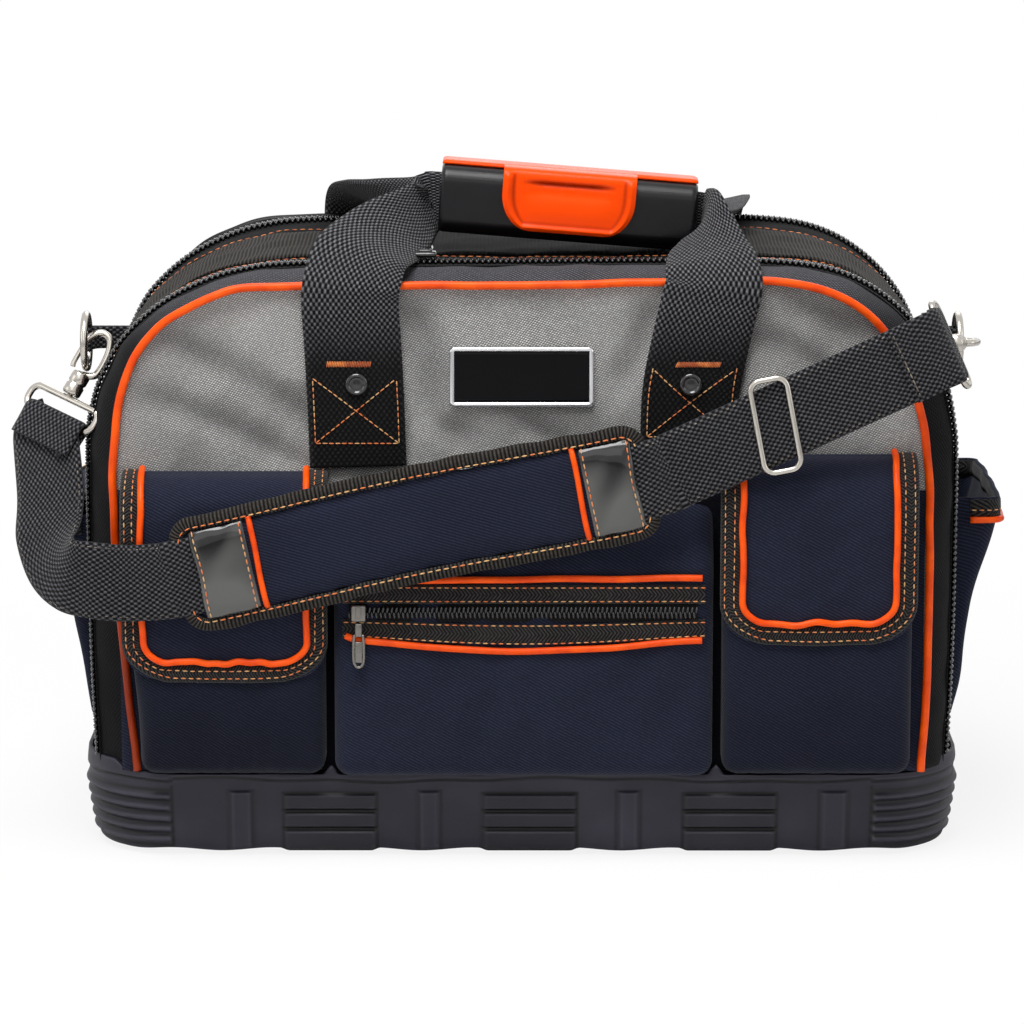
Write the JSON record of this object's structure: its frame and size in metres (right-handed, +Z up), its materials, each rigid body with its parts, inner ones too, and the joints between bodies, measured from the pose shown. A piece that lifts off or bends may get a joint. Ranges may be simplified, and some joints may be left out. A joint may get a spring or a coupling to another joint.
{
  "type": "zippered tool bag",
  "caption": "Arched fabric tool bag on a moulded base, with zipped compartments, front and side pockets, a grip handle and a padded shoulder strap.",
  "frame": {"origin": "centre of the base tub's resting face", "axes": "+Z up, +X to the right as seen from the front, the pocketed front faces -Y"},
  "size_m": [0.5143, 0.2667, 0.3604],
  "materials": {
    "base_rubber": "satin",
    "stiff_board": "matte",
    "shell_fabric": "matte",
    "grey_fabric": "matte",
    "navy_fabric": "matte",
    "webbing": "matte",
    "orange_piping": "satin",
    "black_piping": "satin",
    "zip_coil": "gloss",
    "grip_plastic": "satin",
    "orange_plastic": "satin",
    "plate_black": "gloss",
    "nickel_plated": "polished",
    "black_metal": "satin"
  },
  "bodies": {
    "bag": {"base_tub": "base_rubber", "base_board": "stiff_board", "centre_hoop": "shell_fabric", "centre_divider": "shell_fabric", "front_zip_chain": "zip_coil", "rear_zip_chain": "zip_coil", "front_band": "shell_fabric", "front_panel": "grey_fabric", "front_piping": "orange_piping", "left_pocket": "navy_fabric", "right_pocket": "navy_fabric", "middle_pocket": "navy_fabric", "middle_zip_chain": "zip_coil", "left_side_pocket": "navy_fabric", "right_side_pocket": "navy_fabric", "plate_frame": "nickel_plated", "plate_face": "plate_black", "front_handle_webbing": "webbing", "grip_body": "grip_plastic", "grip_inlay": "orange_plastic", "front_left_rivet": "black_metal", "front_right_rivet": "black_metal", "left_ring_tab": "webbing", "right_ring_tab": "webbing"},
    "rear_cover": {"rear_band": "shell_fabric", "rear_panel": "shell_fabric", "rear_piping": "black_piping", "rear_handle_webbing": "webbing", "rear_left_rivet": "black_metal", "rear_right_rivet": "black_metal"},
    "strap": {"left_side_ring": "nickel_plated", "right_side_ring": "nickel_plated", "left_hook_body": "nickel_plated", "right_hook_body": "nickel_plated", "left_strap_loop": "nickel_plated", "right_strap_loop": "nickel_plated", "strap_left_webbing": "webbing", "strap_right_webbing": "webbing", "strap_pad": "navy_fabric"},
    "left_gate": {"left_hook_gate": "nickel_plated"},
    "right_gate": {"right_hook_gate": "nickel_plated"},
    "adjuster": {"strap_adjuster": "nickel_plated"},
    "left_flap": {"left_pocket_flap": "navy_fabric"},
    "right_flap": {"right_pocket_flap": "navy_fabric"},
    "side_flap": {"left_side_flap": "navy_fabric"},
    "front_slider": {"front_zip_slider": "black_metal"},
    "front_pull": {"front_zip_pull": "black_metal"},
    "rear_slider": {"rear_zip_slider": "black_metal"},
    "rear_pull": {"rear_zip_pull": "black_metal"},
    "middle_slider": {"middle_zip_slider": "nickel_plated"},
    "middle_pull": {"middle_zip_pull": "nickel_plated"}
  },
  "joints": [
    {"name": "strap_swing", "type": "hinge", "parent": "bag", "child": "strap", "pos_m": [0, -0.072, 0.266], "axis": [-1, 0, 0], "range_deg": [0, 98]},
    {"name": "left_flap_lift", "type": "hinge", "parent": "bag", "child": "left_flap", "pos_m": [-0.153, -0.1153, 0.205], "axis": [-1, 0, 0], "range_deg": [0, 74]},
    {"name": "right_flap_lift", "type": "hinge", "parent": "bag", "child": "right_flap", "pos_m": [0.153, -0.1153, 0.214], "axis": [-1, 0, 0], "range_deg": [0, 74]},
    {"name": "rear_cover_open", "type": "hinge", "parent": "bag", "child": "rear_cover", "pos_m": [0, 0.112, 0.0442], "axis": [-1, 0, 0], "range_deg": [0, 85]},
    {"name": "side_flap_lift", "type": "hinge", "parent": "bag", "child": "side_flap", "pos_m": [-0.2258, 0, 0.186], "axis": [0, 1, 0], "range_deg": [0, 100]},
    {"name": "left_gate_press", "type": "hinge", "parent": "strap", "child": "left_gate", "pos_m": [-0.23498, -0.07656, 0.25341], "axis": [0.0042, 0.9422, -0.335], "range_deg": [0, 20], "stiffness_Nm_per_rad": 0.02, "springref_deg": -11.46},
    {"name": "right_gate_press", "type": "hinge", "parent": "strap", "child": "right_gate", "pos_m": [0.22104, -0.08672, 0.26755], "axis": [0, -0.1047, -0.9945], "range_deg": [0, 20], "stiffness_Nm_per_rad": 0.02, "springref_deg": -11.46},
    {"name": "adjuster_slide", "type": "slide", "parent": "strap", "child": "adjuster", "axis": [0.9063, 0, 0.4226], "range_m": [-0.04, 0.03]},
    {"name": "front_slider_run", "type": "slide", "parent": "bag", "child": "front_slider", "axis": [1, 0, 0], "range_m": [-0.07, 0.08]},
    {"name": "front_pull_turn", "type": "hinge", "parent": "front_slider", "child": "front_pull", "pos_m": [-0.05, -0.0802, 0.31435], "axis": [1, 0, 0], "range_deg": [0, 90]},
    {"name": "rear_slider_run", "type": "slide", "parent": "bag", "child": "rear_slider", "axis": [1, 0, 0], "range_m": [-0.16, 0.07]},
    {"name": "rear_pull_turn", "type": "hinge", "parent": "rear_slider", "child": "rear_pull", "pos_m": [0.045, 0.0762, 0.31435], "axis": [-1, 0, 0], "range_deg": [0, 90]},
    {"name": "middle_slider_run", "type": "slide", "parent": "bag", "child": "middle_slider", "axis": [1, 0, 0], "range_m": [0, 0.17]},
    {"name": "middle_pull_turn", "type": "hinge", "parent": "middle_slider", "child": "middle_pull", "pos_m": [-0.084, -0.1374, 0.1277], "axis": [-1, 0, 0], "range_deg": [0, 80]}
  ],
  "couplings": [
    {"joint": "left_flap_lift", "follows": "strap_swing", "ratio": 0.75},
    {"joint": "right_flap_lift", "follows": "strap_swing", "ratio": 0.75}
  ]
}
